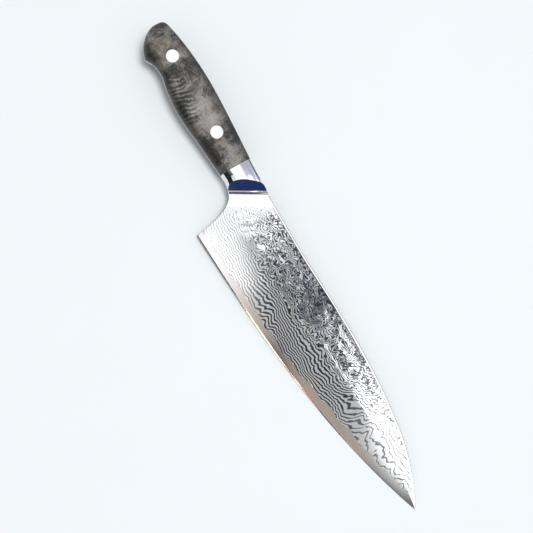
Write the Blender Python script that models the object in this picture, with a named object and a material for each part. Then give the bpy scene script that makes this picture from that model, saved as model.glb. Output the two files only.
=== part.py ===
"""Chef knife with a western handle: a 210 mm san-mai blade, full tang, welded bolsters, two riveted scales.

The knife is drawn in its own frame, in millimetres: x from the heel to the tip, y from the cutting edge to
the spine, z across the blade with the right face up. An empty then lays it down on its left side, the way it
rests on a table at z = 0.
"""

import math

import bmesh
import bpy

# ---- driving dimensions, mm ------------------------------------------------------------------------------
BUTT_X, BEAK_X, TIP_X = -122.8, -107.6, 210.0
JOINT_X = -24.2  # where the scales meet the bolsters
CHOIL_X = -20.0  # where the handle's underside turns down to the heel
GAP = 0.03  # clearance between neighbouring pieces

TANG_HALF = 1.10  # half the thickness of the tang, the ricasso and the spine at the heel
PROUD = 0.20  # how far the tang's rounded edge stands out of the scales and bolsters
CORE_HALF, CORE_TAPER = 0.30, 0.001  # half the core's thickness at the heel, and what it loses per mm
GRIND_TOP = 0.57  # share of the blade's height where the ground bevel ends
EDGE_SHARE = 0.13  # thickness left behind the edge, as a share of the spine's
HONED = 0.7  # height of the honed bevel
SPINE_EASE = 1.2  # height of the eased spine corner

TOP_RADIUS, FACE_DOME = 2.6, 1.0
BELLY_RADIUS_Y, BELLY_RADIUS_Z = 5.0, 5.6
BUTT_ROUND = 3.0

FRONT_FOOT = (0.5, 50.1)  # spine end of the line where the bolster meets the blade
FRONT_SLANT = math.radians(30)  # that line leans back from square by this much
COVE_STEP, COVE_RADIUS, COVE_RISE = 0.30, 4.0, 43  # small step, hollow foot, then a straight ramp in degrees
HIDDEN_LAP = 3.0  # how far the cladding runs in under the bolster

RIVETS = {"rear": (-99.9, 40.3), "front": (-47.4, 40.6)}
HEAD_RADIUS, HEAD_DEPTH = 3.85, 3.4
TUBE_RADIUS, PIN_RADIUS, TUBE_END, PIN_END = 2.6, 1.5, -3.2, 4.6

# The knife at rest on its left side, on the swell of the handle and on the tip, balanced over both:
# nose down by PITCH, edge down by ROLL, with the heel's corner HEEL_Z above the table.
PITCH, ROLL = math.radians(1.8243), math.radians(6.2995)
HEEL_X, HEEL_Y, HEEL_Z = -43.443, -26.433, 3.383

# ---- outline ---------------------------------------------------------------------------------------------
# The cutting edge climbs to the tip: a share of the rise at a steady slope, the rest as a power curve.
HEEL_Y_LOW, TIP_RISE, STEADY_SHARE, EDGE_POWER = -0.1, 31.7, 0.30, 2.9
# The handle's back falls from one crest to the bolster in front and to the rounded butt corner behind.
CREST_X, CREST_Y = -75.0, 52.85
FRONT_POWER, REAR_X, REAR_DROP, REAR_POWER = 1.4, -119.6, 5.25, 2.1
CORNER_Y, CORNER_RUN = 42.3, 4.5
# The butt is a quarter of an ellipse that ends at the beak.
BUTT_CENTRE_X, BUTT_CENTRE_Y, BUTT_DEPTH = -100.0, 41.8, 17.7
# These three pass smoothly through their points (x, y).
SPINE = [(-25, 50.7), (0, 50.1), (45, 50.4), (80, 52.0), (110, 52.4), (150, 49.9), (175, 45.7),
         (195, 38.9), (210, 31.8)]
BELLY = [(BEAK_X, 25.3), (-102, 28.3), (-97, 29.2), (-84, 27.2), (-70, 26.2), (-45, 28.2), (CHOIL_X, 30.3)]
CHOIL = [(CHOIL_X, 30.3), (-14, 29.3), (-9.2, 27.0), (-5.5, 21.8), (-2.6, 14.0), (-0.8, 6.0), (0, HEEL_Y_LOW)]
# The cladding is ground away up to a wavy line, which stands this far above the edge: more in the middle.
WELD_HEIGHT, WELD_MIDDLE, WELD_TIP_LOSS = 4.6, 1.4, 0.6
LONG_WAVE, LONG_SWING = 18.2, 0.75
SHORT_WAVE, SHORT_SWING, SHORT_BEAT = 8.0, 0.5, 56.5
SPINE_TAPER = [(-123, TANG_HALF), (4.5, TANG_HALF), (117, 0.82), (171, 0.58), (200, 0.34), (210, 0.20)]
FACE = [(-123, 9.2), (-112, 9.5), (-92, 9.1), (-66, 9.7), (-42, 9.0), (-25, 8.4), (2, 7.8)]


def smooth(points, x):
    """Height at x of the cubic curve through the points, each passed at the slope its neighbours give."""
    xs, ys = zip(*points)
    x = min(max(x, xs[0]), xs[-1])
    rises = [(b - a) / (d - c) for a, b, c, d in zip(ys, ys[1:], xs, xs[1:])]
    slopes = [rises[0], *((p + q) / 2 for p, q in zip(rises, rises[1:])), rises[-1]]
    for i in range(1, len(xs) - 1):
        before, after = xs[i] - xs[i - 1], xs[i + 1] - xs[i]
        slopes[i] = (rises[i - 1] * after + rises[i] * before) / (before + after)
    i = max(k for k in range(len(xs) - 1) if xs[k] <= x)
    step = xs[i + 1] - xs[i]
    u = (x - xs[i]) / step
    return (
        (1 + 2 * u) * (1 - u) ** 2 * ys[i]
        + u * (1 - u) ** 2 * step * slopes[i]
        + u * u * (3 - 2 * u) * ys[i + 1]
        + u * u * (u - 1) * step * slopes[i + 1]
    )


def straight(points, x):
    """Height at x of the straight segments through the points."""
    for (a, low), (b, high) in zip(points, points[1:]):
        if x <= b:
            return low + (high - low) * (x - a) / (b - a)
    return points[-1][1]


def ramp(x, start, end):
    u = min(max((x - start) / (end - start), 0.0), 1.0)
    return u * u * (3 - 2 * u)


def edge_y(x):
    along = min(max(x / TIP_X, 0.0), 1.0)
    return HEEL_Y_LOW + TIP_RISE * (STEADY_SHARE * along + (1 - STEADY_SHARE) * along**EDGE_POWER)


def butt_y(x):
    """The underside of the butt, from its upright rear end round to the beak."""
    across = min(max((BUTT_CENTRE_X - x) / (BUTT_CENTRE_X - BUTT_X), 0.0), 1.0)
    return BUTT_CENTRE_Y - BUTT_DEPTH * math.sqrt(1 - across * across)


def back_y(x):
    """The handle's back, rounded down into the butt at its rear corner."""
    front_x, front_y = SPINE[0]
    if x > CREST_X:
        return CREST_Y - (CREST_Y - front_y) * ((x - CREST_X) / (front_x - CREST_X)) ** FRONT_POWER
    back = CREST_Y - REAR_DROP * ((CREST_X - x) / (CREST_X - REAR_X)) ** REAR_POWER
    from_end = min(max((x - BUTT_X) / CORNER_RUN, 0.0), 1.0)
    return CORNER_Y + (back - CORNER_Y) * math.sqrt(1 - (1 - from_end) ** 2)


def low_y(x):
    """The outline's edge side: butt, belly of the handle, choil, cutting edge."""
    if x < BEAK_X:
        return butt_y(x)
    if x < 0:
        return smooth(BELLY if x < CHOIL_X else CHOIL, x)
    return edge_y(x)


def high_y(x):
    return back_y(x) if x < SPINE[0][0] else smooth(SPINE, x)


def weld_y(x):
    """The wavy line where the cladding has been ground away and the core begins."""
    height = WELD_HEIGHT + WELD_MIDDLE * ramp(x, 95, 125) - WELD_TIP_LOSS * ramp(x, 150, 175)
    long_wave = LONG_SWING * math.sin(math.tau * x / LONG_WAVE + 0.4)
    beat = math.sin(math.tau * x / SHORT_BEAT + 1)
    return edge_y(x) + height + long_wave + SHORT_SWING * beat * math.sin(math.tau * x / SHORT_WAVE + 2)


def half_thickness(x, y):
    """Half the blade's thickness: parallel above the grind line, a slightly convex bevel under it."""
    edge, spine = edge_y(x), smooth(SPINE, x)
    share = min(max((y - edge) / (spine - edge) / GRIND_TOP, 0.0), 1.0)
    ground = EDGE_SHARE + (1 - EDGE_SHARE) * share**0.85
    return straight(SPINE_TAPER, x) * (1 - (1 - ground) * ramp(x, -12, -4))


# ---- building helpers ------------------------------------------------------------------------------------
def material(name, colour, metallic, roughness):
    made = bpy.data.materials.new(name)
    made.use_nodes = True
    shader = made.node_tree.nodes["Principled BSDF"]
    shader.inputs["Base Color"].default_value = (*colour, 1)
    shader.inputs["Metallic"].default_value = metallic
    shader.inputs["Roughness"].default_value = roughness
    return made


def add(name, points, faces, finish=None):
    """A closed mesh from points in millimetres, hung on the resting empty. With no finish it is a cutter."""
    mesh = bpy.data.meshes.new(name)
    mesh.from_pydata([[c / 1000 for c in p] for p in points], [], faces)
    shape = bmesh.new()
    shape.from_mesh(mesh)
    bmesh.ops.recalc_face_normals(shape, faces=shape.faces)
    shape.to_mesh(mesh)
    shape.free()
    made = bpy.data.objects.new(name, mesh)
    bpy.context.scene.collection.objects.link(made)
    made.parent = resting
    if finish:
        mesh.materials.append(finish)
        mesh.shade_smooth()
        mesh.set_sharp_from_angle(angle=math.radians(28))
    else:
        made.hide_render = True
        made.display_type = "WIRE"
    return made


def loft(name, rings, finish=None):
    """A skin over rings of equal count, closed by a face at each end."""
    n = len(rings[0])
    faces = [list(range(n)), list(range(n * (len(rings) - 1), n * len(rings)))]
    for a in range(0, n * (len(rings) - 1), n):
        faces += [(a + i, a + (i + 1) % n, a + n + (i + 1) % n, a + n + i) for i in range(n)]
    return add(name, [p for ring in rings for p in ring], faces, finish)


def turned(name, centre, profile, finish=None, segments=40):
    """A piece turned about the line through centre along z, from a profile of (radius, z)."""
    rings = []
    for i in range(segments):
        c, s = math.cos(math.tau * i / segments), math.sin(math.tau * i / segments)
        rings.append([(centre[0] + r * c, centre[1] + r * s, z) for r, z in profile[1:-1]])
    n = len(rings[0])
    points = [p for ring in rings for p in ring]
    points += [(*centre, profile[0][1]), (*centre, profile[-1][1])]
    faces = []
    for i in range(segments):
        a, b = i * n, (i + 1) % segments * n
        faces += [(a + k, b + k, b + k + 1, a + k + 1) for k in range(n - 1)]
        faces += [(a, b, n * segments), (a + n - 1, b + n - 1, n * segments + 1)]
    return add(name, points, faces, finish)


def shape_with(piece, operation, *cutters):
    for cutter in cutters:
        step = piece.modifiers.new(cutter.name, "BOOLEAN")
        step.operation, step.solver, step.object = operation, "EXACT", cutter


def stations(*spans):
    """Positions along x, from (start, end, step) spans that follow each other."""
    made = []
    for start, end, step in spans:
        count = max(1, round((end - start) / step))
        made += [start + (end - start) * i / count for i in range(count)]
    return [*made, spans[-1][1]]


# ---- blade and tang --------------------------------------------------------------------------------------
def blade_ring(x):
    """Section of the whole blade or tang: up the right side from the edge, and down the left."""
    low, high = low_y(x), high_y(x)
    honed, eased = min(HONED, (high - low) * 0.15), min(SPINE_EASE, (high - low) * 0.2)
    in_handle = x < 0
    shoulder = 0.3 if in_handle else honed
    side = [(low, half_thickness(x, low) * 0.7 if in_handle else 0.012)]
    for share in (0, 0.13, 0.28, 0.43, 0.58, 0.8, 1):
        y = low + shoulder + share * (high - eased - low - shoulder)
        side.append((y, half_thickness(x, y)))
    top = side[-1][1]
    side += [(high - 0.3 * eased, 0.8 * top), (high, 0.5 * top)]
    return [(x, y, z) for y, z in side] + [(x, y, -z) for y, z in reversed(side)]


def cladding_zone(name, side, gap):
    """All the room that one face's cladding takes: from the hidden lap under the bolster to near the tip."""
    foot_x, foot_y = FRONT_FOOT
    lap = HIDDEN_LAP / math.cos(FRONT_SLANT) - gap
    rear = [(foot_x + (y - foot_y) * math.tan(FRONT_SLANT) - lap, y) for y in (65, 10)]
    wave = [(x, weld_y(x) + gap) for x in stations((0.6, 189, 1.5), (189, 194, 1.25))]
    tip = [(197.0, 31.9 + gap), (197.9 - gap, 34.4), (198.2 - gap, 65)]
    heel = wave[0][1]
    plan = [*rear, (rear[-1][0], heel), (-0.9, heel), *wave, *tip]
    inner = [(x, y, side * (CORE_HALF - CORE_TAPER * x + gap)) for x, y in plan]
    outer = [(x, y, side * 3) for x, y in plan]
    return loft(name, [inner, outer])


# ---- handle ----------------------------------------------------------------------------------------------
def handle_ring(x, side, inner):
    """Half section of the handle on one side: a square-shouldered back and a rounder belly."""
    top, low = high_y(x) - PROUD, max(low_y(x), 5) + PROUD
    from_end = min((x - BUTT_X) / BUTT_ROUND, 1)
    swell = math.sqrt(1 - (1 - from_end) ** 2)
    height = top - low
    depth = (smooth(FACE, x) - inner) * swell
    reach = inner + depth
    dome = FACE_DOME * min(1, height / 20) * swell
    back = min(TOP_RADIUS, height * 0.2)
    back_z, belly = min(back, depth * 0.5), min(BELLY_RADIUS_Y, height * 0.3)
    belly_z = min(BELLY_RADIUS_Z, depth * 0.75)
    points = [(top, inner)]
    for i in range(6):
        turn = math.radians(90 * i / 5)
        points.append((top - back * (1 - math.cos(turn)), reach - dome - back_z * (1 - math.sin(turn))))
    flat_top, flat_low = top - back, low + belly
    for share in (0.17, 0.34, 0.5, 0.66, 0.83):
        sag = dome * (1 - 4 * share * (1 - share))
        points.append((flat_top + share * (flat_low - flat_top), reach - sag))
    for i in range(8):
        turn = math.radians(90 - 90 * i / 7)
        points.append((low + belly * (1 - math.cos(turn)), reach - dome - belly_z * (1 - math.sin(turn))))
    points.append((low, inner))
    return [(x, y, side * z) for y, z in points]


def cove_cutter(name, side):
    """All that stands in front of the bolster's coved nose, as one long bar along the slanted front line."""
    start = TANG_HALF + COVE_STEP
    profile = [(-30, -1), (0, -1), (0, start)]
    for i in range(1, 9):
        turn = math.radians(COVE_RISE * i / 8)
        profile.append((COVE_RADIUS * math.sin(turn), start + COVE_RADIUS * (1 - math.cos(turn))))
    ramp_end = profile[-1][0] + (30 - profile[-1][1]) / math.tan(math.radians(COVE_RISE))
    profile += [(ramp_end, 30), (-30, 30)]
    along = (math.sin(FRONT_SLANT), math.cos(FRONT_SLANT))
    ends = []
    for reach in (-45, 30):
        at = (FRONT_FOOT[0] + reach * along[0], FRONT_FOOT[1] + reach * along[1])
        ends.append([(at[0] - u * along[1], at[1] + u * along[0], side * z) for u, z in profile])
    return loft(name, ends)


for old in list(bpy.data.objects):
    bpy.data.objects.remove(old)

core_steel = material("core_steel", (0.56, 0.55, 0.54), 1.0, 0.22)
damascus = material("damascus_steel", (0.42, 0.43, 0.45), 1.0, 0.30)
bolster_steel = material("bolster_steel", (0.72, 0.73, 0.75), 1.0, 0.08)
burl = material("burl_wood", (0.20, 0.17, 0.145), 0.0, 0.35)
rivet_steel = material("rivet_steel", (0.80, 0.80, 0.80), 1.0, 0.12)

resting = bpy.data.objects.new("resting", None)
bpy.context.scene.collection.objects.link(resting)
resting.rotation_euler = (ROLL, PITCH, 0)
resting.location = (HEEL_X / 1000, HEEL_Y / 1000, HEEL_Z / 1000)

blade_stations = stations(
    (BUTT_X, -120.6, 0.44), (-120.6, BEAK_X, 2.2), (BEAK_X, -95, 1.8), (-95, CHOIL_X, 5),
    (CHOIL_X, -4, 1.3), (-4, 0, 0.4), (0, 185, 4.5), (185, TIP_X - 0.5, 2.5),
)
rings = [blade_ring(x) for x in blade_stations]
drills = []
for place, centre in RIVETS.items():
    outer, inner = HEAD_RADIUS + GAP, TUBE_RADIUS + GAP
    shoulder = smooth(FACE, centre[0]) - HEAD_DEPTH - GAP
    steps = [(outer, 20), (outer, shoulder), (inner, shoulder)]
    profile = [(0, 20), *steps, *((r, -z) for r, z in reversed(steps)), (0, -20)]
    drills.append(turned(f"drill_{place}", centre, profile))

core = loft("core_tang", rings, core_steel)
shape_with(core, "DIFFERENCE", *(cladding_zone(f"seat_{s}", s, 0) for s in (1, -1)), *drills)

scale_stations = stations(
    (BUTT_X + 0.06, -120.6, 0.4), (-120.6, BEAK_X, 1.9), (BEAK_X, -95, 1.8), (-95, JOINT_X - GAP / 2, 4.4)
)
bolster_stations = stations((JOINT_X + GAP / 2, CHOIL_X, 2.3), (CHOIL_X, -8, 1.5), (-8, 2, 2))
for word, side in (("right", 1), ("left", -1)):
    cladding = loft(f"cladding_{word}", rings, damascus)
    shape_with(cladding, "INTERSECT", cladding_zone(f"room_{word}", side, GAP))

    seat = TANG_HALF + GAP
    scale = loft(f"scale_{word}", [handle_ring(x, side, seat) for x in scale_stations], burl)
    shape_with(scale, "DIFFERENCE", *drills)

    bolster = loft(f"bolster_{word}", [handle_ring(x, side, seat) for x in bolster_stations], bolster_steel)
    shape_with(bolster, "DIFFERENCE", cove_cutter(f"cove_{word}", side))

outside = {side: loft(f"outside_{side}", [
    [(x, y, z) for x, y, z in handle_ring(x, side, TANG_HALF + GAP)[1:-1]]
    + [(x, low_y(x) + PROUD, -12 * side), (x, high_y(x) - PROUD, -12 * side)]
    for x in scale_stations
]) for side in (1, -1)}
for place, centre in RIVETS.items():
    shoulder = smooth(FACE, centre[0]) - HEAD_DEPTH
    bore = PIN_RADIUS + GAP
    female = [(0, 20), (HEAD_RADIUS, 20), (HEAD_RADIUS, shoulder), (TUBE_RADIUS, shoulder),
              (TUBE_RADIUS, TUBE_END), (bore, TUBE_END), (bore, PIN_END + 0.5), (0, PIN_END + 0.5)]
    male = [(0, -20), (HEAD_RADIUS, -20), (HEAD_RADIUS, -shoulder), (PIN_RADIUS, -shoulder),
            (PIN_RADIUS, PIN_END), (0, PIN_END)]
    for word, side, profile in (("female", 1, female), ("male", -1, male)):
        rivet = turned(f"rivet_{place}_{word}", centre, profile, rivet_steel)
        shape_with(rivet, "INTERSECT", outside[side])
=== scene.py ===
"""Looks for the chef knife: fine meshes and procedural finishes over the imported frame.

Every piece is drawn in the knife's own frame, in millimetres: x from the heel to the tip, y from the
cutting edge to the spine, z across the blade with the right face up. RESTING lays it on the table as the
CAD does.
"""

import math

import bpy
import numpy as np
from mathutils import Euler, Matrix, Vector, noise


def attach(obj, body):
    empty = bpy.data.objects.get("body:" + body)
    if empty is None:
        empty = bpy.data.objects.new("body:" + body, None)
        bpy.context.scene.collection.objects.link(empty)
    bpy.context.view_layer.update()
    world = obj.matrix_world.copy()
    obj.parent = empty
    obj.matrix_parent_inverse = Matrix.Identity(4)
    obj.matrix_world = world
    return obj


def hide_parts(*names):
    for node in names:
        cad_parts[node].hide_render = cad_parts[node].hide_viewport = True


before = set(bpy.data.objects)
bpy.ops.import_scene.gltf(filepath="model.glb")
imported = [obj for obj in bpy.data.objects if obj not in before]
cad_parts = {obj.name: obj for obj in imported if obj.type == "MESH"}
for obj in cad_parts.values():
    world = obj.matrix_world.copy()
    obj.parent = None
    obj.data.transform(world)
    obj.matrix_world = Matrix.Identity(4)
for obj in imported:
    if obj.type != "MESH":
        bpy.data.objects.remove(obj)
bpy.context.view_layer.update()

# ---- driving dimensions, mm: the CAD's -------------------------------------------------------------------
BUTT_X, BEAK_X, TIP_X = -122.8, -107.6, 210.0
JOINT_X, CHOIL_X, GAP = -24.2, -20.0, 0.03
TANG_HALF, PROUD = 1.10, 0.20
CORE_HALF, CORE_TAPER = 0.30, 0.001
GRIND_TOP, EDGE_SHARE, HONED, SPINE_EASE = 0.57, 0.13, 0.7, 1.2
TOP_RADIUS, FACE_DOME = 2.6, 1.0
BELLY_RADIUS_Y, BELLY_RADIUS_Z = 5.0, 5.6
BELLY_START = math.radians(72)  # the belly's curve takes over from the face's dome at the dome's own slope
BUTT_ROUND = 3.0
FRONT_FOOT, FRONT_SLANT = (0.5, 50.1), math.radians(30)
COVE_STEP, COVE_RADIUS, COVE_RISE = 0.30, 4.0, 43
HIDDEN_LAP = 3.0
RIVETS = {"rear": (-99.9, 40.3), "front": (-47.4, 40.6)}
HEAD_RADIUS, HEAD_DEPTH = 3.85, 3.4
PITCH, ROLL = math.radians(1.8243), math.radians(6.2995)
HEEL_X, HEEL_Y, HEEL_Z = -43.443, -26.433, 3.383

HEEL_Y_LOW, TIP_RISE, STEADY_SHARE, EDGE_POWER = -0.1, 31.7, 0.30, 2.9
CREST_X, CREST_Y = -75.0, 52.85
FRONT_POWER, REAR_X, REAR_DROP, REAR_POWER = 1.4, -119.6, 5.25, 2.1
CORNER_Y, CORNER_RUN = 42.3, 4.5
BUTT_CENTRE_X, BUTT_CENTRE_Y, BUTT_DEPTH = -100.0, 41.8, 17.7
SPINE = [(-25, 50.7), (0, 50.1), (45, 50.4), (80, 52.0), (110, 52.4), (150, 49.9), (175, 45.7),
         (195, 38.9), (210, 31.8)]
BELLY = [(BEAK_X, 25.3), (-102, 28.3), (-97, 29.2), (-84, 27.2), (-70, 26.2), (-45, 28.2), (CHOIL_X, 30.3)]
CHOIL = [(CHOIL_X, 30.3), (-14, 29.3), (-9.2, 27.0), (-5.5, 21.8), (-2.6, 14.0), (-0.8, 6.0), (0, HEEL_Y_LOW)]
WELD_HEIGHT, WELD_MIDDLE, WELD_TIP_LOSS = 4.6, 1.4, 0.6
LONG_WAVE, LONG_SWING = 18.2, 0.75
SHORT_WAVE, SHORT_SWING, SHORT_BEAT = 8.0, 0.5, 56.5
SPINE_TAPER = [(-123, TANG_HALF), (4.5, TANG_HALF), (117, 0.82), (171, 0.58), (200, 0.34), (210, 0.20)]
FACE = [(-123, 9.2), (-112, 9.5), (-92, 9.1), (-66, 9.7), (-42, 9.0), (-25, 8.4), (2, 7.8)]

# ---- looks, mm -------------------------------------------------------------------------------------------
MESH_STEP = 0.5  # spacing of the blade's mesh
CLADDING_ROWS, EASED_ROWS = 88, 9
DIMPLE_PITCH, DIMPLE_DEPTH = 4.6, 0.10  # hammer marks on the cladding
DIMPLES_FROM, DIMPLES_FULL = 20.0, 30.0  # heights over the edge between which they fade in
DISH_SHARE, BROAD_SHARE, RIPPLE_SHARE = 0.45, 0.90, 0.16  # of the depth, from dishes, hollows and ripple
CLADDING_START_X, CLADDING_END_X = -17.5, 197.9
EDGE_HALF = 0.012  # half the thickness at the very edge
BARE_ROWS, COVERED_ROWS, HONED_ROWS = 24, 40, 4  # rows of the core's mesh below and above the weld
BACK_STEPS, FACE_STEPS, BELLY_STEPS = 15, 18, 21  # round the handle's section
TUBE_RADIUS = 2.6  # of the hole through the handle, under the rivet heads
BEYOND, UNDER_FACE = 20, 12  # past the handle's face and under its middle, for what cuts and trims
LAYERS_PER_MM, LAYERS_LOST_AT_TIP = 0.53, 0.24  # pairs of layers for each mm up the blade
LAYERS_PER_MM_SUNK = 12.0  # and for each mm into a hammer mark
HANDLE_CENTRE_Y = 40.8

RESTING = (
    Matrix.Translation((HEEL_X / 1000, HEEL_Y / 1000, HEEL_Z / 1000))
    @ Euler((ROLL, PITCH, 0)).to_matrix().to_4x4()
)


# ---- the CAD's curves ------------------------------------------------------------------------------------
def smooth(points, x):
    """Height at x of the cubic curve through the points, each passed at the slope its neighbours give."""
    xs, ys = zip(*points)
    x = min(max(x, xs[0]), xs[-1])
    rises = [(b - a) / (d - c) for a, b, c, d in zip(ys, ys[1:], xs, xs[1:])]
    slopes = [rises[0], *((p + q) / 2 for p, q in zip(rises, rises[1:])), rises[-1]]
    for i in range(1, len(xs) - 1):
        before, after = xs[i] - xs[i - 1], xs[i + 1] - xs[i]
        slopes[i] = (rises[i - 1] * after + rises[i] * before) / (before + after)
    i = max(k for k in range(len(xs) - 1) if xs[k] <= x)
    step = xs[i + 1] - xs[i]
    u = (x - xs[i]) / step
    return (
        (1 + 2 * u) * (1 - u) ** 2 * ys[i]
        + u * (1 - u) ** 2 * step * slopes[i]
        + u * u * (3 - 2 * u) * ys[i + 1]
        + u * u * (u - 1) * step * slopes[i + 1]
    )


def straight(points, x):
    """Height at x of the straight segments through the points."""
    for (a, low), (b, high) in zip(points, points[1:]):
        if x <= b:
            return low + (high - low) * (x - a) / (b - a)
    return points[-1][1]


def ramp(x, start, end):
    """Rises smoothly from 0 at start to 1 at end, whichever is the larger."""
    u = min(max((x - start) / (end - start), 0.0), 1.0)
    return u * u * (3 - 2 * u)


def edge_y(x):
    along = min(max(x / TIP_X, 0.0), 1.0)
    return HEEL_Y_LOW + TIP_RISE * (STEADY_SHARE * along + (1 - STEADY_SHARE) * along**EDGE_POWER)


def butt_y(x):
    across = min(max((BUTT_CENTRE_X - x) / (BUTT_CENTRE_X - BUTT_X), 0.0), 1.0)
    return BUTT_CENTRE_Y - BUTT_DEPTH * math.sqrt(1 - across * across)


def back_y(x):
    front_x, front_y = SPINE[0]
    if x > CREST_X:
        return CREST_Y - (CREST_Y - front_y) * ((x - CREST_X) / (front_x - CREST_X)) ** FRONT_POWER
    back = CREST_Y - REAR_DROP * ((CREST_X - x) / (CREST_X - REAR_X)) ** REAR_POWER
    from_end = min(max((x - BUTT_X) / CORNER_RUN, 0.0), 1.0)
    return CORNER_Y + (back - CORNER_Y) * math.sqrt(1 - (1 - from_end) ** 2)


def low_y(x):
    if x < BEAK_X:
        return butt_y(x)
    if x < 0:
        return smooth(BELLY if x < CHOIL_X else CHOIL, x)
    return edge_y(x)


def high_y(x):
    return back_y(x) if x < SPINE[0][0] else smooth(SPINE, x)


def weld_y(x):
    """The wavy line where the cladding has been ground away and the core begins."""
    height = WELD_HEIGHT + WELD_MIDDLE * ramp(x, 95, 125) - WELD_TIP_LOSS * ramp(x, 150, 175)
    long_wave = LONG_SWING * math.sin(math.tau * x / LONG_WAVE + 0.4)
    beat = math.sin(math.tau * x / SHORT_BEAT + 1)
    return edge_y(x) + height + long_wave + SHORT_SWING * beat * math.sin(math.tau * x / SHORT_WAVE + 2)


def half_thickness(x, y):
    edge, spine = edge_y(x), smooth(SPINE, x)
    share = min(max((y - edge) / (spine - edge) / GRIND_TOP, 0.0), 1.0)
    ground = EDGE_SHARE + (1 - EDGE_SHARE) * share**0.85
    return straight(SPINE_TAPER, x) * (1 - (1 - ground) * ramp(x, -12, -4))


def ease_height(x):
    return min(SPINE_EASE, (high_y(x) - low_y(x)) * 0.2)


def eased(x, y):
    """What the rounded spine corner takes off the half thickness there, as a share."""
    u = min(max(1 - (high_y(x) - y) / ease_height(x), 0.0), 1.0)
    return 0.5 * u * u


# ---- building helpers ------------------------------------------------------------------------------------
def add(name, points, faces, finish=None, sharp=30):
    """A closed mesh from points in millimetres, laid to rest. With no finish it is a cutter."""
    mesh = bpy.data.meshes.new(name)
    mesh.from_pydata([RESTING @ (Vector(p) / 1000) for p in points], [], faces)
    mesh.validate()
    made = bpy.data.objects.new(name, mesh)
    bpy.context.scene.collection.objects.link(made)
    if finish:
        mesh.materials.append(finish)
    mesh.shade_smooth()
    mesh.set_sharp_from_angle(angle=math.radians(sharp))
    return made


def outward(points, faces):
    """The faces, turned round if they enclose a negative volume."""
    total = 0.0
    for face in faces:
        a = Vector(points[face[0]])
        for i in range(1, len(face) - 1):
            total += a.dot(Vector(points[face[i]]).cross(Vector(points[face[i + 1]])))
    return [tuple(reversed(f)) for f in faces] if total < 0 else faces


def loft(name, rings, finish=None, sharp=30):
    """A skin over rings of equal count, closed by a face at each end."""
    n = len(rings[0])
    faces = [tuple(reversed(range(n))), tuple(range(n * (len(rings) - 1), n * len(rings)))]
    for a in range(0, n * (len(rings) - 1), n):
        faces += [(a + i, a + (i + 1) % n, a + n + (i + 1) % n, a + n + i) for i in range(n)]
    points = [p for ring in rings for p in ring]
    return add(name, points, outward(points, faces), finish, sharp)


def turned(name, centre, profile, finish=None, segments=96):
    """A piece turned about the line through centre along z, from a profile of (radius, z)."""
    n = len(profile) - 2
    points, faces = [], []
    for i in range(segments):
        c, s = math.cos(math.tau * i / segments), math.sin(math.tau * i / segments)
        points += [(centre[0] + r * c, centre[1] + r * s, z) for r, z in profile[1:-1]]
    points += [(*centre, profile[0][1]), (*centre, profile[-1][1])]
    for i in range(segments):
        a, b = i * n, (i + 1) % segments * n
        faces += [(a + k, b + k, b + k + 1, a + k + 1) for k in range(n - 1)]
        faces += [(b, a, n * segments), (a + n - 1, b + n - 1, n * segments + 1)]
    return add(name, points, outward(points, faces), finish)


def shape_with(piece, operation, *cutters):
    """Cuts or trims the piece, keeps the result as its mesh and removes the cutters' modifiers."""
    for cutter in cutters:
        step = piece.modifiers.new(cutter.name, "BOOLEAN")
        step.operation, step.solver, step.object = operation, "EXACT", cutter
    bpy.context.view_layer.update()
    done = bpy.data.meshes.new_from_object(piece.evaluated_get(bpy.context.evaluated_depsgraph_get()))
    piece.modifiers.clear()
    piece.data = done
    done.shade_smooth()
    done.set_sharp_from_angle(angle=math.radians(30))


def stations(*spans):
    """Positions along x, from (start, end, step) spans that follow each other."""
    made = []
    for start, end, step in spans:
        count = max(1, round((end - start) / step))
        made += [start + (end - start) * i / count for i in range(count)]
    return [*made, spans[-1][1]]


def mark(piece, label, values):
    """Stores one number for each point of the piece, for its material to read."""
    layer = piece.data.attributes.new(label, "FLOAT", "POINT")
    layer.data.foreach_set("value", np.array(values, np.float32))


def finish_piece(piece, node):
    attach(piece, "root")
    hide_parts(node)


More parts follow.
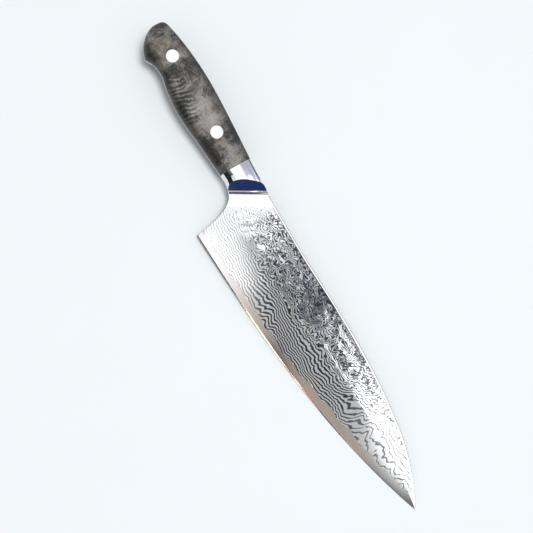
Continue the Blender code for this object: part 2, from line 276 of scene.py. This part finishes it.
# ---- node helpers ----------------------------------------------------------------------------------------
class Nodes:
    """Short calls for the nodes of one material."""

    def __init__(self, name):
        self.material = bpy.data.materials.new(name)
        self.material.use_nodes = True
        self.tree = self.material.node_tree
        self.shader = self.tree.nodes["Principled BSDF"]
        coordinates = self.tree.nodes.new("ShaderNodeTexCoord").outputs["Object"]
        back_to_knife = self.tree.nodes.new("ShaderNodeMapping")
        back_to_knife.vector_type = "TEXTURE"
        back_to_knife.inputs["Location"].default_value = RESTING.translation
        back_to_knife.inputs["Rotation"].default_value = (ROLL, PITCH, 0)
        self.tree.links.new(coordinates, back_to_knife.inputs["Vector"])
        self.place = back_to_knife.outputs[0]

    def put(self, socket, value):
        if isinstance(value, bpy.types.NodeSocket):
            self.tree.links.new(value, socket)
        else:
            socket.default_value = value

    def math(self, operation, a, b=0.0, clamp=False):
        node = self.tree.nodes.new("ShaderNodeMath")
        node.operation, node.use_clamp = operation, clamp
        self.put(node.inputs[0], a)
        self.put(node.inputs[1], b)
        return node.outputs[0]

    def plus(self, first, *others):
        for other in others:
            first = self.math("ADD", first, other)
        return first

    def minus(self, a, b):
        return self.math("SUBTRACT", a, b)

    def times(self, first, *others):
        for other in others:
            first = self.math("MULTIPLY", first, other)
        return first

    def weighted(self, total, parts):
        """The total plus each of the parts times its weight."""
        for part, weight in parts:
            total = self.plus(total, self.times(part, weight))
        return total

    def scaled(self, factors):
        """The place in the knife's frame, multiplied on each axis. Factors are per millimetre."""
        node = self.tree.nodes.new("ShaderNodeMapping")
        self.put(node.inputs["Vector"], self.place)
        node.inputs["Scale"].default_value = [1000 * f for f in factors]
        return node.outputs[0]

    def axes(self):
        """The place's x and y in the knife's frame, in millimetres."""
        apart = self.tree.nodes.new("ShaderNodeSeparateXYZ")
        self.tree.links.new(self.scaled((1, 1, 1)), apart.inputs[0])
        return apart.outputs["X"], apart.outputs["Y"]

    def noise(self, factors, detail=2.0, rough=0.5, twist=0.0):
        node = self.tree.nodes.new("ShaderNodeTexNoise")
        self.put(node.inputs["Vector"], self.scaled(factors))
        node.inputs["Scale"].default_value = 1.0
        node.inputs["Detail"].default_value = detail
        node.inputs["Roughness"].default_value = rough
        node.inputs["Distortion"].default_value = twist
        return node.outputs[0]

    def attribute(self, name):
        node = self.tree.nodes.new("ShaderNodeAttribute")
        node.attribute_name = name
        return node.outputs["Fac"]

    def between(self, value, low, high):
        """Smooth ramp: 0 where the value is low, 1 where it is high. Low may be the larger number."""
        node = self.tree.nodes.new("ShaderNodeMapRange")
        node.interpolation_type = "SMOOTHSTEP"
        self.put(node.inputs["Value"], value)
        node.inputs["From Min"].default_value = low
        node.inputs["From Max"].default_value = high
        return node.outputs[0]

    def remap(self, value, low, high):
        """Runs evenly from low where the value is 0 to high where it is 1."""
        node = self.tree.nodes.new("ShaderNodeMapRange")
        self.put(node.inputs["Value"], value)
        node.inputs["To Min"].default_value = low
        node.inputs["To Max"].default_value = high
        return node.outputs[0]

    def mix(self, share, a, b):
        node = self.tree.nodes.new("ShaderNodeMix")
        node.data_type = "RGBA"
        self.put(node.inputs["Factor"], share)
        self.put(node.inputs[6], (*a, 1) if isinstance(a, tuple) else a)
        self.put(node.inputs[7], (*b, 1) if isinstance(b, tuple) else b)
        return node.outputs[2]

    def bump(self, height, strength, distance):
        node = self.tree.nodes.new("ShaderNodeBump")
        node.inputs["Strength"].default_value = strength
        node.inputs["Distance"].default_value = distance / 1000
        self.put(node.inputs["Height"], height)
        self.put(self.shader.inputs["Normal"], node.outputs[0])

    def glow(self, colour, strength=1.0):
        """Makes the material shine instead of reflecting."""
        shine = self.tree.nodes.new("ShaderNodeEmission")
        self.put(shine.inputs["Color"], (*colour, 1) if isinstance(colour, tuple) else colour)
        shine.inputs["Strength"].default_value = strength
        self.tree.links.new(shine.outputs[0], self.tree.nodes["Material Output"].inputs["Surface"])
        return self.material

    def set(self, **values):
        for name, value in values.items():
            socket = self.shader.inputs[name.replace("_", " ")]
            self.put(socket, (*value, 1) if isinstance(value, tuple) else value)
        return self.material


# ---- finishes --------------------------------------------------------------------------------------------
def damascus_finish():
    """Etched layers seen where the grind and the hammer marks cut through them, as contour lines.

    A painted highlight pales the etch by the heel, turns it white next to the bolster, and thins and greys
    its dark lines towards the tip.
    """
    n = Nodes("damascus_steel")
    x, y = n.axes()
    lift, hammered, sunk = n.attribute("lift"), n.attribute("hammered"), n.attribute("sunk")
    # Towards the tip the layers spread and settle, and a painted highlight greys the dark layers there.
    tip_layers_and_highlight = n.between(n.plus(x, n.times(y, 0.6)), 138.0, 178.0)
    past_heel = n.between(n.plus(x, n.times(y, 1.6)), 42.0, 90.0)
    from_bolster = n.minus(x, n.times(y, math.tan(FRONT_SLANT)))
    # Painted highlight: where this is low, by the heel and next to the bolster, the etch is painted pale.
    etch_clear_of_highlight = n.times(past_heel, n.between(from_bolster, -20.0, -11.0))

    # How many pairs of dark and light layers the surface has come through.
    stirred = n.times(hammered, n.minus(1.0, n.times(tip_layers_and_highlight, 0.66)))
    curls = n.minus(n.noise((0.19, 0.21, 0.19), 1.0, 0.5, 0.7), 0.5)
    frays = n.minus(n.noise((0.42, 0.46, 0.42), 1.0, 0.5, 0.4), 0.5)
    per_millimetre = n.minus(LAYERS_PER_MM, n.times(tip_layers_and_highlight, LAYERS_LOST_AT_TIP))
    layers = n.weighted(n.times(lift, per_millimetre), (
        (n.noise((0.030, 0.036, 0.03), 1.0, 0.4), 8.0),
        (n.noise((0.12, 0.075, 0.12), 1.0, 0.4, 0.3), 3.0),
        (n.noise((0.30, 0.10, 0.2), 1.0, 0.5, 0.3), 1.6),
        (sunk, LAYERS_PER_MM_SUNK),
        (curls, n.plus(0.3, n.times(stirred, 4.4))),
        (frays, n.times(stirred, 1.5)),
    ))

    # The painted highlight thins the dark lines by the heel, by the bolster and towards the tip.
    painted_highlight = n.minus(1.0, etch_clear_of_highlight)
    lean = n.plus(n.times(painted_highlight, 0.48), n.times(tip_layers_and_highlight, 0.64))
    wave = n.plus(n.math("SINE", n.times(layers, math.tau)), lean)
    polished = n.attribute("polished")
    brink = n.times(polished, n.minus(1.0, polished), 3.4)
    bright = n.math("MAXIMUM", n.between(wave, -0.35, 0.25), polished)
    bright = n.math("MULTIPLY", bright, n.minus(1.0, brink), clamp=True)
    # Painted highlight: white right next to the bolster.
    bright = n.math("MAXIMUM", bright, n.between(from_bolster, -18.0, -22.0))

    grain = n.noise((2.5, 2.5, 2.5), 3.0, 0.6)
    dark = n.mix(grain, (0.040, 0.043, 0.050), (0.075, 0.079, 0.088))
    dark = n.mix(n.times(hammered, 0.20), dark, (0.18, 0.19, 0.22))
    # Painted highlight: greyer dark layers towards the tip, and pale grey ones by the heel and the bolster.
    dark = n.mix(n.times(tip_layers_and_highlight, 0.55), dark, (0.30, 0.31, 0.32))
    dark = n.mix(etch_clear_of_highlight, (0.38, 0.39, 0.40), dark)
    light = n.mix(grain, (0.74, 0.75, 0.765), (0.84, 0.85, 0.86))
    n.set(Base_Color=n.mix(bright, dark, light), Metallic=1.0, Roughness=n.remap(bright, 0.15, 0.08))
    n.bump(n.plus(bright, n.times(grain, 0.2)), 0.22, 0.02)
    return n.material


def core_finish():
    """Bare core steel, ground along the blade, with a patina over its middle and a bright honed bevel."""
    n = Nodes("core_steel")
    x, _ = n.axes()
    scratches = n.noise((0.08, 4.0, 4.0), 3.0, 0.6)
    patches = n.noise((0.05, 0.2, 0.2), 2.0, 0.5)
    patina = n.times(n.between(x, 50.0, 92.0), n.between(x, 182.0, 158.0))
    tint = n.mix(patches, (0.51, 0.462, 0.42), (0.61, 0.560, 0.515))
    tint = n.mix(patina, (0.60, 0.605, 0.615), tint)
    tint = n.mix(n.attribute("honed"), tint, (0.80, 0.79, 0.78))
    n.set(Base_Color=tint, Metallic=1.0, Roughness=n.remap(scratches, 0.10, 0.18))
    n.bump(scratches, 0.15, 0.006)
    return n.material


def polished_finish(name, colour, low, high):
    """Buffed stainless: faint crossing hairlines and a slow drift of gloss."""
    n = Nodes(name)
    hairlines = n.noise((0.2, 6.0, 0.2), 2.0, 0.6)
    drift = n.noise((0.12, 0.12, 0.12), 2.0, 0.5)
    darker = tuple(0.93 * c for c in colour)
    n.set(Base_Color=n.mix(drift, darker, colour), Metallic=1.0, Roughness=n.remap(hairlines, low, high))
    n.bump(hairlines, 0.08, 0.004)
    return n.material


def burl_finish():
    """Stabilised burl: warped figure lines, curls by the belly, dark eyes and streaks, with painted shade on
    the rounded edges and a painted sheen in the middle of the face.
    """
    n = Nodes("burl_wood")
    x, y = n.axes()
    figure = n.noise((0.045, 0.065, 0.05), 3.0, 0.5, 1.6)
    lines = n.math("SINE", n.times(figure, 80.0))
    bands = n.noise((0.13, 0.04, 0.06), 2.0, 0.45, 0.9)
    streaks = n.noise((0.06, 0.20, 0.10), 4.0, 0.6, 1.0)
    fibres = n.noise((0.7, 0.34, 0.4), 4.0, 0.66, 0.8)
    eyes = n.noise((0.14, 0.20, 0.16), 3.0, 0.6, 1.6)

    ripple = n.plus(n.times(x, 2.3), n.times(n.minus(41.0, y), 0.8))
    ripple = n.math("SINE", n.plus(ripple, n.times(n.noise((0.10, 0.12, 0.1), 2.0), 16.0)))
    curl = n.times(ripple, n.between(y, 42.0, 33.0), n.between(x, -94.0, -84.0), n.between(x, -54.0, -66.0))
    off_centre = n.math("ABSOLUTE", n.minus(y, HANDLE_CENTRE_Y))
    # Painted sheen: the middle of the face is lighter, as if lit, from the curls forward.
    lit_middle_sheen = n.times(n.between(off_centre, 8.5, 1.0), n.between(x, -84.0, -72.0))
    # Painted reflection: a darker band across the face just in front of the rear rivet.
    dark_reflection_band = n.times(n.between(x, -99.0, -93.0), n.between(x, -83.0, -90.0))
    shade = n.weighted(n.times(fibres, 0.34), (
        (figure, 0.62),
        (lines, 0.045),
        (n.minus(bands, 0.5), 0.45),
        (curl, 0.11),
        (lit_middle_sheen, 0.09),
        (dark_reflection_band, -0.09),
        (n.between(x, -54.0, -42.0), -0.07),
        (n.between(x, -100.0, -108.0), -0.03),
    ))

    paleness = n.between(shade, 0.32, 0.70)
    grey = n.mix(paleness, (0.009, 0.0085, 0.0085), (0.250, 0.237, 0.222))
    tan = n.mix(paleness, (0.013, 0.010, 0.008), (0.205, 0.170, 0.138))
    body = n.mix(n.between(figure, 0.50, 0.66), grey, tan)
    for where, share in (
        (n.between(streaks, 0.55, 0.76), 0.8),
        (n.between(eyes, 0.60, 0.74), 0.9),
        # Painted shade: darker towards the rounded edges. The next line makes the face darker towards the
        # spine side.
        (n.between(off_centre, 6.0, 12.0), 0.74),
        (n.between(y, 43.5, 49.0), 0.36),
    ):
        body = n.mix(n.times(where, share), body, (0.007, 0.0068, 0.0068))
    n.set(Base_Color=body, Roughness=n.remap(fibres, 0.34, 0.50), Coat_Weight=0.08, Coat_Roughness=0.2)
    n.bump(n.plus(fibres, bands), 0.08, 0.02)
    return n.material


# ---- blade -----------------------------------------------------------------------------------------------
def hammer_relief(x, y, lift, side):
    """How far a hammered face is sunk here, from overlapping shallow dishes of uneven size."""
    strength = ramp(lift, DIMPLES_FROM, DIMPLES_FULL) * ramp(high_y(x) - y, 1.4, 4.5)
    if strength == 0:
        return 0.0
    cell_x, cell_y = x / DIMPLE_PITCH, y / (0.9 * DIMPLE_PITCH)
    wobble = noise.noise(Vector((x / 9, y / 9, 7 * side)))
    near, _ = noise.voronoi(Vector((cell_x + wobble, cell_y + 0.6 * wobble, 3.3 * side)))
    dish = 1 - min(near[0] / 0.6, 1.0) ** 2
    broad = 0.5 + noise.noise(Vector((x / 6.5, y / 5.5, 11 * side)))
    ripple = 0.5 + noise.fractal(Vector((x / 2.4, y / 2.4, 5 * side)), 1.0, 2.0, 2)
    shares = DISH_SHARE * dish + BROAD_SHARE * broad + RIPPLE_SHARE * ripple
    return DIMPLE_DEPTH * strength * min(max(shares, 0.0), 1.6)


def cladding_rows(x):
    """Heights of one column of the cladding's mesh, from the weld to the spine."""
    start, end = weld_y(x) + GAP, high_y(x)
    if x < 0:
        start = max(low_y(x), weld_y(0.0)) + GAP if x > -6 else low_y(x)
    shoulder = end - min(1.25 * SPINE_EASE, 0.25 * (end - start))
    body = [start + (shoulder - start) * i / CLADDING_ROWS for i in range(CLADDING_ROWS)]
    return body + [shoulder + (end - shoulder) * i / EASED_ROWS for i in range(EASED_ROWS + 1)]


def slab_faces(columns, rows):
    """Faces of a closed slab over a grid of points, column by column: all the outer ones, then the inner."""
    total = columns * rows
    faces = []
    for i in range(columns - 1):
        for j in range(rows - 1):
            a = i * rows + j
            faces.append((a, a + rows, a + rows + 1, a + 1))
            faces.append((total + a, total + a + 1, total + a + rows + 1, total + a + rows))
    rim = [i * rows for i in range(columns)]
    rim += [(columns - 1) * rows + j for j in range(1, rows)]
    rim += [i * rows + rows - 1 for i in range(columns - 2, -1, -1)]
    rim += range(rows - 2, 0, -1)
    return faces + [(a, total + a, total + b, b) for a, b in zip(rim, rim[1:] + rim[:1])]


def cladding(name, side, finish):
    """One face's Damascus, as a closed slab: hammered outside, flat against the core inside."""
    foot_x, foot_y = FRONT_FOOT
    lap = HIDDEN_LAP / math.cos(FRONT_SLANT)
    xs = stations((CLADDING_START_X, 0.0, MESH_STEP), (0.0, CLADDING_END_X, MESH_STEP))
    outer, inner, lifts, hammers, depths, rims = [], [], [], [], [], []
    for x in xs:
        floor = side * (CORE_HALF - CORE_TAPER * x + GAP)
        for y in cladding_rows(x):
            rear = foot_x + (y - foot_y) * math.tan(FRONT_SLANT) - lap
            at = max(x, rear)
            lift = y - edge_y(at)
            sunk = hammer_relief(at, y, lift, side)
            top = half_thickness(at, y) * (1 - eased(at, y))
            outer.append((at, y, side * max(top - sunk, abs(floor) + 0.01)))
            inner.append((at, y, floor))
            lifts.append(lift)
            hammers.append(ramp(lift, DIMPLES_FROM - 4, DIMPLES_FULL))
            depths.append(sunk)
            rims.append(ramp(high_y(at) - y, 1.45 * SPINE_EASE, 1.15 * SPINE_EASE))
    points = outer + inner
    faces = slab_faces(len(xs), len(outer) // len(xs))
    made = add(name, points, outward(points, faces), finish, sharp=50)
    for label, values in (("lift", lifts), ("hammered", hammers), ("sunk", depths), ("polished", rims)):
        mark(made, label, values + values)
    return made


def core_half(x, y):
    """Half thickness of the core and tang: full where bare, thin between the claddings."""
    full = half_thickness(x, y)
    foot_x, foot_y = FRONT_FOOT
    rear = foot_x + (y - foot_y) * math.tan(FRONT_SLANT) - HIDDEN_LAP / math.cos(FRONT_SLANT)
    covered = rear < x < CLADDING_END_X and y > weld_y(max(x, 0.6))
    return min(full, CORE_HALF - CORE_TAPER * x) if covered else full


def core_ring(x):
    low, high = low_y(x), high_y(x)
    in_handle = x < 0
    honed = 0.3 if in_handle else min(HONED, (high - low) * 0.15)
    side = [(low, half_thickness(x, low) * 0.7 if in_handle else EDGE_HALF)]
    heights = [low + honed * i / HONED_ROWS for i in range(1, HONED_ROWS + 1)]
    ease = ease_height(x)
    bare_low, bare_high = low + honed, high - ease
    weld = weld_y(x) if 0 < x < CLADDING_END_X else (bare_low + bare_high) / 2
    weld = min(weld, bare_high - 0.05 * (bare_high - bare_low))
    heights += [bare_low + (weld - bare_low) * i / BARE_ROWS for i in range(1, BARE_ROWS + 1)]
    step = 0.001 * (bare_high - weld)
    rise = bare_high - weld - step
    heights += [weld + step, *(weld + step + rise * i / COVERED_ROWS for i in range(1, COVERED_ROWS + 1))]
    honed_top = half_thickness(x, low + honed)
    for y in heights:
        half = core_half(x, y)
        if not in_handle and y < low + honed:
            half = EDGE_HALF + (honed_top - EDGE_HALF) * (y - low) / honed
        side.append((y, half))
    for turn in (0.3, 0.6, 0.85, 1.0):
        y = high - ease * (1 - turn)
        side.append((y, core_half(x, y - 0.01 * ease) * (1 - 0.5 * turn * turn)))
    return [(x, y, z) for y, z in side] + [(x, y, -z) for y, z in reversed(side)]


# ---- handle ----------------------------------------------------------------------------------------------
def handle_ring(x, side, inner):
    """Half section of the handle on one side: a square-shouldered back and a rounder belly."""
    top, low = high_y(x) - PROUD, max(low_y(x), 5) + PROUD
    from_end = min((x - BUTT_X) / BUTT_ROUND, 1)
    swell = math.sqrt(1 - (1 - from_end) ** 2)
    height = top - low
    depth = (smooth(FACE, x) - inner) * swell
    reach = inner + depth
    dome = FACE_DOME * min(1, height / 20) * swell
    back = min(TOP_RADIUS, height * 0.2)
    back_z, belly = min(back, depth * 0.5), min(BELLY_RADIUS_Y, height * 0.3)
    belly_z = min(BELLY_RADIUS_Z, depth * 0.75)
    points = [(top, inner)]
    for i in range(BACK_STEPS + 1):
        turn = math.radians(90 * i / BACK_STEPS)
        points.append((top - back * (1 - math.cos(turn)), reach - dome - back_z * (1 - math.sin(turn))))
    flat_top, flat_low = top - back, low + belly
    for i in range(1, FACE_STEPS):
        share = i / FACE_STEPS
        sag = dome * (1 - 4 * share * (1 - share))
        points.append((flat_top + share * (flat_low - flat_top), reach - sag))
    for i in range(BELLY_STEPS + 1):
        turn = BELLY_START * (1 - i / BELLY_STEPS)
        fall = 1 - math.sin(turn) / math.sin(BELLY_START)
        height_share = (1 - math.cos(turn)) / (1 - math.cos(BELLY_START))
        points.append((low + belly * height_share, reach - dome - belly_z * fall))
    points.append((low, inner))
    return [(x, y, side * z) for y, z in points]


def cove_cutter(name, side):
    """All that stands in front of the bolster's coved nose, as one long bar along the slanted front line."""
    start, bends = TANG_HALF + COVE_STEP, 32
    profile = [(-30, -1), (0, -1), (0, start)]
    for i in range(1, bends + 1):
        turn = math.radians(COVE_RISE * i / bends)
        profile.append((COVE_RADIUS * math.sin(turn), start + COVE_RADIUS * (1 - math.cos(turn))))
    ramp_end = profile[-1][0] + (30 - profile[-1][1]) / math.tan(math.radians(COVE_RISE))
    profile += [(ramp_end, 30), (-30, 30)]
    along = (math.sin(FRONT_SLANT), math.cos(FRONT_SLANT))
    ends = []
    for reach in (-45, 30):
        at = (FRONT_FOOT[0] + reach * along[0], FRONT_FOOT[1] + reach * along[1])
        ends.append([(at[0] - u * along[1], at[1] + u * along[0], side * z) for u, z in profile])
    return loft(name, ends)


# ---- making the knife ------------------------------------------------------------------------------------
damascus = damascus_finish()
core_steel = core_finish()
bolster_steel = polished_finish("bolster_steel", (0.86, 0.87, 0.89), 0.05, 0.10)
rivet_steel = polished_finish("rivet_steel", (0.90, 0.90, 0.90), 0.10, 0.18)
burl = burl_finish()

SEAT = TANG_HALF + GAP
CORE_STATIONS = stations(
    (BUTT_X, -120.6, 0.22), (-120.6, BEAK_X, 0.8), (BEAK_X, -95, 0.8), (-95, CHOIL_X, 1.5),
    (CHOIL_X, -4, 0.6), (-4, 0, 0.2), (0, 185, 0.9), (185, TIP_X - 0.5, 0.5),
)
SCALE_STATIONS = stations(
    (BUTT_X + 0.06, -120.6, 0.16), (-120.6, BEAK_X, 0.7), (BEAK_X, -95, 0.7), (-95, JOINT_X - GAP / 2, 1.2)
)
BOLSTER_STATIONS = stations((JOINT_X + GAP / 2, CHOIL_X, 0.7), (CHOIL_X, -8, 0.6), (-8, 2, 0.8))


def make_core():
    rings = [core_ring(x) for x in CORE_STATIONS]
    piece = loft("core_tang_visual", rings, core_steel)
    honed = []
    for ring in rings:
        x, low, _ = ring[0]
        honed += [1.0 if x < CHOIL_X or x > 0 and y < low + 1.05 * HONED else 0.0 for _, y, _ in ring]
    mark(piece, "honed", honed)
    finish_piece(piece, "core_tang")


def rivet_drill(place, centre):
    """The hole for one rivet: wide where the heads sit, narrow between them."""
    outer, deep = HEAD_RADIUS + GAP, smooth(FACE, centre[0]) - HEAD_DEPTH - GAP
    upper = [(0, BEYOND), (outer, BEYOND), (outer, deep), (TUBE_RADIUS, deep)]
    return turned(f"drill_{place}", centre, [*upper, *((radius, -z) for radius, z in reversed(upper))])


def make_cladding(word, side):
    piece = cladding(f"cladding_{word}_visual", side, damascus)
    finish_piece(piece, f"cladding_{word}")


def make_scale(word, side, drills):
    piece = loft(f"scale_{word}_visual", [handle_ring(x, side, SEAT) for x in SCALE_STATIONS], burl)
    shape_with(piece, "DIFFERENCE", *drills)
    finish_piece(piece, f"scale_{word}")


def make_bolster(word, side, cove):
    rings = [handle_ring(x, side, SEAT) for x in BOLSTER_STATIONS]
    piece = loft(f"bolster_{word}_visual", rings, bolster_steel)
    shape_with(piece, "DIFFERENCE", cove)
    finish_piece(piece, f"bolster_{word}")


def scale_outside(word, side):
    """The scale's face and all that lies under it, for trimming the rivet heads flush with the wood."""
    rings = []
    for x in SCALE_STATIONS:
        base = [(x, low_y(x) + PROUD, -UNDER_FACE * side), (x, high_y(x) - PROUD, -UNDER_FACE * side)]
        rings.append([*handle_ring(x, side, SEAT)[1:-1], *base])
    return loft(f"outside_{word}", rings)


def make_rivet_head(place, centre, kind, side, outside):
    under = smooth(FACE, centre[0]) - HEAD_DEPTH
    outline = [(0, BEYOND), (HEAD_RADIUS, BEYOND), (HEAD_RADIUS, under), (0, under)]
    profile = [(radius, z * side) for radius, z in outline]
    piece = turned(f"rivet_{place}_{kind}_visual", centre, profile, rivet_steel)
    shape_with(piece, "INTERSECT", outside)
    finish_piece(piece, f"rivet_{place}_{kind}")


make_core()
drills = [rivet_drill(place, centre) for place, centre in RIVETS.items()]
cutters = [*drills]
for word, side, kind in (("right", 1, "female"), ("left", -1, "male")):
    make_cladding(word, side)
    make_scale(word, side, drills)
    cove = cove_cutter(f"cove_{word}", side)
    make_bolster(word, side, cove)
    outside = scale_outside(word, side)
    for place, centre in RIVETS.items():
        make_rivet_head(place, centre, kind, side, outside)
    cutters += [cove, outside]
for cutter in cutters:
    bpy.data.objects.remove(cutter)


# ---- floor, light, camera --------------------------------------------------------------------------------
def in_knife(x, y, z=0.0):
    """A point of the knife's own frame, as a place in the scene."""
    return RESTING @ Vector((x / 1000, y / 1000, z / 1000))


CAMERA_DISTANCE, CAMERA_LEAN = 0.500, math.radians(5.0)  # the distance in metres
VIEW_WIDTH = 0.323  # metres, what the frame spans at the knife
SENSOR = 36
AIM = (36.9, 27.0)  # the middle of the view, in the knife's x and y
PICTURE_UP = (-0.866, 0.5)  # in the knife's x and y
FLOOR_REACH = 30  # metres, so that its edge is the horizon
KEY_DISTANCE, KEY_ASIDE, KEY_UP = 1.0, 0.32, 0.12  # metres from the middle of the view
KEY_SIZE, KEY_POWER = 0.42, 3.6  # metres and watts
SUN_POWER, SUN_ANGLE = 1.3, math.radians(22)
ROOM_HORIZON, ROOM_OVERHEAD = 0.80, 0.70
CEILING, CARD_HEIGHT = 494, 440  # mm over the middle of the blade
CLOUD_SWING = 110.0  # mm, how far the ceiling's patches stray from straight borders
COVE_MIDDLE, COVE_HEADING = (-5.5, 40), -26.5  # mm, and the degrees towards which the cove looks

turn = RESTING.to_3x3()
target = in_knife(*AIM)
back = turn @ Vector((0, -math.sin(CAMERA_LEAN), math.cos(CAMERA_LEAN)))
picture_up = turn @ Vector((*PICTURE_UP, 0))
picture_up = (picture_up - picture_up.dot(back) * back).normalized()
right = picture_up.cross(back)
lens = bpy.data.cameras.new("camera")
lens.sensor_width = SENSOR
lens.lens = SENSOR * CAMERA_DISTANCE / VIEW_WIDTH
camera = bpy.data.objects.new("camera", lens)
bpy.context.scene.collection.objects.link(camera)
camera.matrix_world = Matrix.Translation(target + CAMERA_DISTANCE * back) @ Matrix(
    (right, picture_up, back)
).transposed().to_4x4()
bpy.context.scene.camera = camera


def sheet(name, corners, finish, shown=False):
    """A flat sheet through its corners. Unless shown, only reflections see it."""
    mesh = bpy.data.meshes.new(name)
    mesh.from_pydata(corners, [], [tuple(range(len(corners)))])
    mesh.materials.append(finish)
    made = bpy.data.objects.new(name, mesh)
    bpy.context.scene.collection.objects.link(made)
    made.visible_camera = shown
    if not shown:
        made.visible_shadow = made.visible_diffuse = False
    return made


def overhead(name, x_span, y_span, height, finish):
    """A rectangular card over the knife, level with its face, with its sides along the knife's x and y."""
    (rear, front), (low, high) = x_span, y_span
    outline = ((rear, low), (front, low), (front, high), (rear, high))
    return sheet(name, [in_knife(x, y, height) for x, y in outline], finish)


def upright(name, middle, heading, width, low, high, distance, finish):
    """A card that stands off in one heading of the knife's plane, between two angles above the face."""
    towards = Vector((math.cos(math.radians(heading)), math.sin(math.radians(heading))))
    across = Vector((-towards.y, towards.x))
    corners = []
    for angle, end in ((low, -1), (low, 1), (high, 1), (high, -1)):
        turned_up = math.radians(angle)
        place = Vector(middle) + distance * math.cos(turned_up) * towards + end * width / 2 * across
        corners.append(in_knife(place.x, place.y, distance * math.sin(turned_up)))
    return sheet(name, corners, finish)


def card_finish(name, colour, strength=1.0):
    return Nodes(name).glow(colour, strength)


def lay_floor():
    look = Nodes("floor")
    speck = look.noise((0.02, 0.02, 0.02), 2.0)
    grey = look.mix(speck, (0.640, 0.665, 0.677), (0.653, 0.678, 0.691))
    look.set(Base_Color=grey, Roughness=0.9, Specular_IOR_Level=0.1)
    corners = [(a * FLOOR_REACH, b * FLOOR_REACH, 0) for a, b in ((-1, -1), (1, -1), (1, 1), (-1, 1))]
    sheet("floor", corners, look.material, shown=True)


def light_room():
    """An even, faintly blue room, a little brighter at the horizon than overhead."""
    world = bpy.data.worlds.new("studio")
    bpy.context.scene.world = world
    world.use_nodes = True
    room = world.node_tree.nodes
    way = room.new("ShaderNodeTexCoord")
    split = room.new("ShaderNodeSeparateXYZ")
    rise = room.new("ShaderNodeMapRange")
    rise.inputs["From Min"].default_value, rise.inputs["From Max"].default_value = 0.0, 0.8
    rise.inputs["To Min"].default_value, rise.inputs["To Max"].default_value = ROOM_HORIZON, ROOM_OVERHEAD
    world.node_tree.links.new(way.outputs["Generated"], split.inputs[0])
    world.node_tree.links.new(split.outputs["Z"], rise.inputs["Value"])
    world.node_tree.links.new(rise.outputs[0], room["Background"].inputs["Strength"])
    room["Background"].inputs["Color"].default_value = (0.95, 0.975, 1.0, 1)


def light(name, kind, at):
    """A light that shines from there at the target, and that reflections don't show."""
    made = bpy.data.lights.new(name, kind)
    holder = bpy.data.objects.new(name, made)
    bpy.context.scene.collection.objects.link(holder)
    facing = (at - target).to_track_quat("Z", "Y").to_matrix().to_4x4()
    holder.matrix_world = Matrix.Translation(at) @ facing
    holder.visible_glossy = False
    return made


lay_floor()
light_room()
key_at = target + KEY_ASIDE * right + KEY_UP * picture_up + KEY_DISTANCE * back
key = light("key", "AREA", key_at)
key.shape, key.size, key.energy = "DISK", KEY_SIZE, KEY_POWER
sun = light("sun", "SUN", key_at)
sun.energy, sun.angle = SUN_POWER, SUN_ANGLE


def canvas_finish():
    """The ceiling that the faces mirror: bright over heel and tip, grey between, broken over the spine."""
    n = Nodes("canvas")
    x, y = n.axes()
    cloud = n.times(n.minus(n.noise((0.012, 0.012, 0.012), 2.0), 0.5), CLOUD_SWING)
    cloudy_x = n.plus(x, cloud)
    slant = n.plus(n.times(x, 0.56), n.times(n.math("MAXIMUM", y, 10.0), 0.83))
    to_tip = n.plus(cloudy_x, n.times(n.minus(y, 75.0), 1.5))
    past_heel = n.between(n.plus(slant, cloud), -6.0, 70.0)
    over_spine = n.between(n.plus(y, cloud), 44.0, 84.0)
    over_tip = n.times(n.between(to_tip, 205.0, 268.0), n.between(y, 30.0, 66.0))
    by_bolster = n.times(n.between(cloudy_x, 16.0, -12.0), n.between(y, 20.0, 60.0))
    near_tip_edge = n.times(n.between(x, 290.0, 340.0), n.between(y, 50.0, 26.0))
    far_off = n.math("MAXIMUM", n.between(y, 320.0, 390.0), n.between(y, -130.0, -210.0))

    patches = n.noise((0.022, 0.030, 0.03), 2.0, 0.55)
    broken = n.mix(n.between(patches, 0.46, 0.57), (0.06, 0.075, 0.11), (1.00, 1.02, 1.05))
    middle = n.mix(n.between(y, -32.0, 8.0), (1.00, 0.78, 0.62), (0.58, 0.58, 0.58))
    heel = n.mix(n.between(y, -10.0, 24.0), (2.0,) * 3, (1.40,) * 3)
    level = n.mix(past_heel, heel, n.mix(over_spine, middle, broken))
    for where, brightness in (
        (near_tip_edge, 0.20),
        (over_tip, 1.9),
        (by_bolster, 1.6),
        (n.between(y, 170.0, 220.0), 2.6),
        (far_off, 0.75),
    ):
        level = n.mix(where, level, (brightness,) * 3)
    bolster = n.mix(n.between(y, -260.0, -60.0), (0.58, 0.74, 0.68), (1.3, 1.35, 1.35))
    bolster = n.mix(n.between(y, 120.0, 220.0), bolster, (0.50, 0.50, 0.62))
    level = n.mix(n.between(x, -40.0, -28.0), bolster, level)
    level = n.mix(n.between(x, -100.0, -88.0), (1.15,) * 3, level)
    return n.glow(level)


navy = card_finish("card_navy", (0.011, 0.030, 0.125))
black = card_finish("card_black", (0.02, 0.02, 0.022))
warm = card_finish("card_warm", (1.9, 1.2, 0.72), 2.8)
copper = card_finish("card_copper", (0.85, 0.34, 0.13))
glint = card_finish("card_glint", (1.0, 0.93, 0.85), 6)
overhead("canvas", (-700, 900), (-400, 560), CEILING, canvas_finish())
overhead("warm_low", (90, 300), (-330, -150), CARD_HEIGHT, warm)
overhead("black_low", (-40, 84), (-330, -150), CARD_HEIGHT, black)
upright("navy_card", COVE_MIDDLE, COVE_HEADING, 46, 8, 18, 170, navy)
upright("copper_card", COVE_MIDDLE, COVE_HEADING, 44, 21, 38, 175, copper)
upright("foot_card", (-8, 35), -30, 90, 44, 74, 488, navy)
upright("black_over_spine", (-22, 50), 90, 20, 4, 42, 40, black)
upright("black_below_bolster", (-84, 40), -90, 146, 10, 59, 150, black)
upright("glint_card", (-3.6, 43.3), COVE_HEADING, 2.2, 22, 36, 168, glint)

bpy.context.scene.view_settings.view_transform = "Standard"
